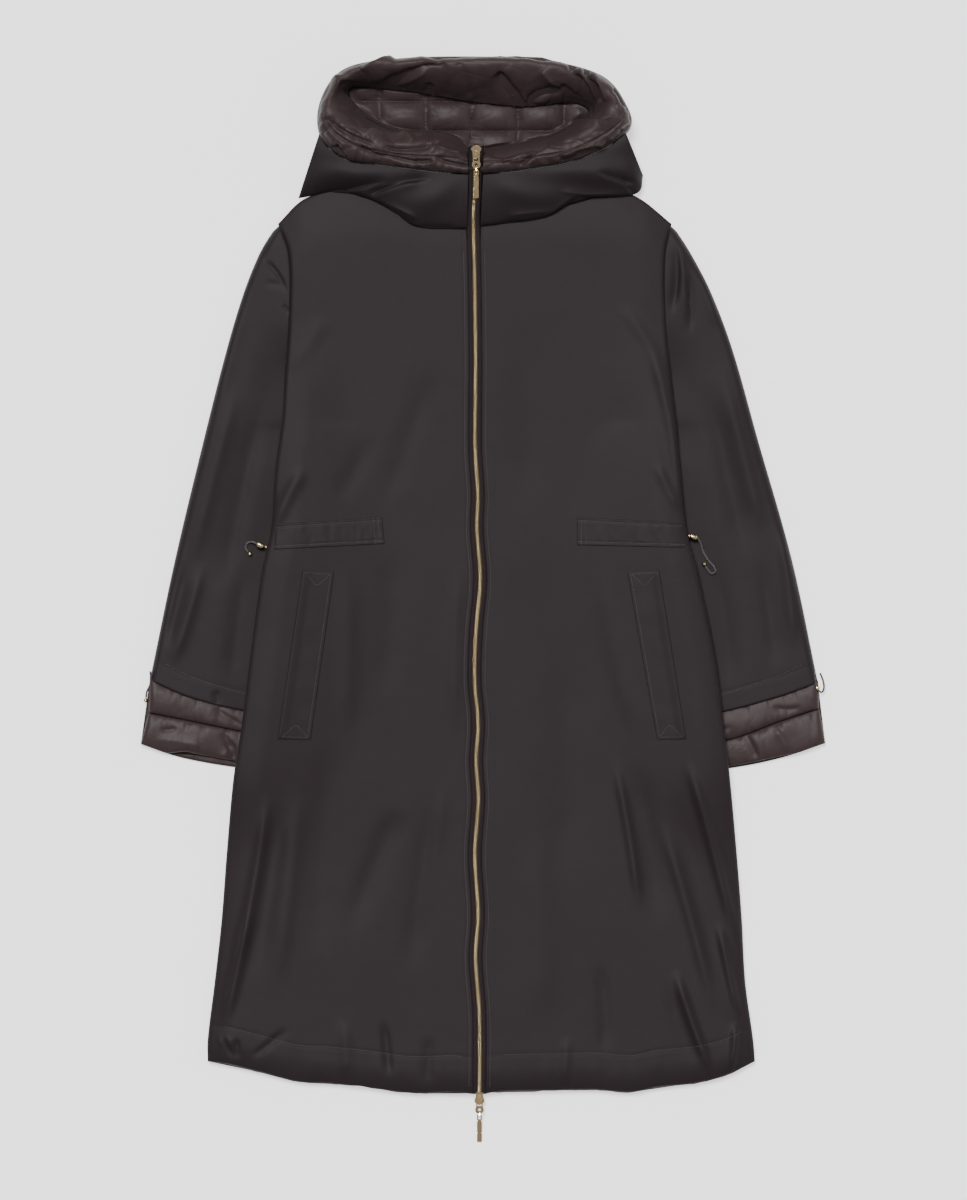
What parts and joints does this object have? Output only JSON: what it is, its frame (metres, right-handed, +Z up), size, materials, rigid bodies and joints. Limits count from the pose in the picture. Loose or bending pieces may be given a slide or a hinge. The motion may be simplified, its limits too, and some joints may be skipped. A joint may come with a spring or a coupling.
{
  "type": "hooded parka laid flat",
  "caption": "Oversized hooded parka laid flat on its back, with a quilted lining, drawn waist and two-way metal zip.",
  "frame": {"origin": "middle of the lowest face of the coat as it lies, on the surface that it rests on", "axes": "+X to the right as seen from above, +Y from the hem to the hood, +Z up from the surface"},
  "size_m": [0.7886, 1.2489, 0.0617],
  "materials": {
    "shell": "matte padded cotton and nylon cloth",
    "lining": "shiny quilted nylon",
    "tape": "woven zip tape",
    "metal": "polished pale gold",
    "cord": "round braided cord"
  },
  "bodies": {
    "root": {"back": "shell", "front_left": "shell", "front_right": "shell", "sleeve_left_back": "shell", "sleeve_left_front": "shell", "sleeve_right_back": "shell", "sleeve_right_front": "shell", "cuff_left_upper": "lining", "cuff_left_lower": "lining", "cuff_left_back": "lining", "cuff_right_upper": "lining", "cuff_right_lower": "lining", "cuff_right_back": "lining", "hood_facing": "lining", "hood_lining": "lining", "hood_back": "shell", "cowl_left": "shell", "cowl_right": "shell", "zip_tape_left": "tape", "zip_tape_right": "tape", "zip_chain": "metal", "slider_top": "metal", "slider_bottom": "metal", "waist_casing_left": "shell", "waist_casing_right": "shell", "pocket_welt_left": "shell", "pocket_welt_right": "shell", "cord_waist_left": "cord", "eyelet_waist_left": "metal", "stopper_waist_left": "metal", "bead_waist_left": "metal", "cord_waist_right": "cord", "eyelet_waist_right": "metal", "stopper_waist_right": "metal", "bead_waist_right": "metal", "cord_cuff_left": "cord", "bead_cuff_left": "metal", "cord_cuff_right": "cord", "collar_cuff_right": "metal"},
    "link_top": {"pull_link_top": "metal"},
    "bar_top": {"pull_bar_top": "metal"},
    "link_bottom": {"pull_link_bottom": "metal"},
    "bar_bottom": {"pull_bar_bottom": "metal"}
  },
  "joints": [
    {"name": "link_top_swing", "type": "hinge", "parent": "root", "child": "link_top", "pos_m": [-0.00777, 0.51007, 0.04951], "axis": [-1, 0, 0], "range_deg": [0, 120]},
    {"name": "bar_top_swing", "type": "hinge", "parent": "link_top", "child": "bar_top", "pos_m": [-0.00777, 0.49303, 0.04508], "axis": [-1, 0, 0], "range_deg": [0, 75]},
    {"name": "link_bottom_swing", "type": "hinge", "parent": "root", "child": "link_bottom", "pos_m": [-0.0041, -0.57599, 0.01515], "axis": [-1, 0, 0], "range_deg": [0, 120]},
    {"name": "bar_bottom_swing", "type": "hinge", "parent": "link_bottom", "child": "bar_bottom", "pos_m": [-0.0041, -0.59295, 0.01045], "axis": [-1, 0, 0], "range_deg": [0, 75]}
  ]
}
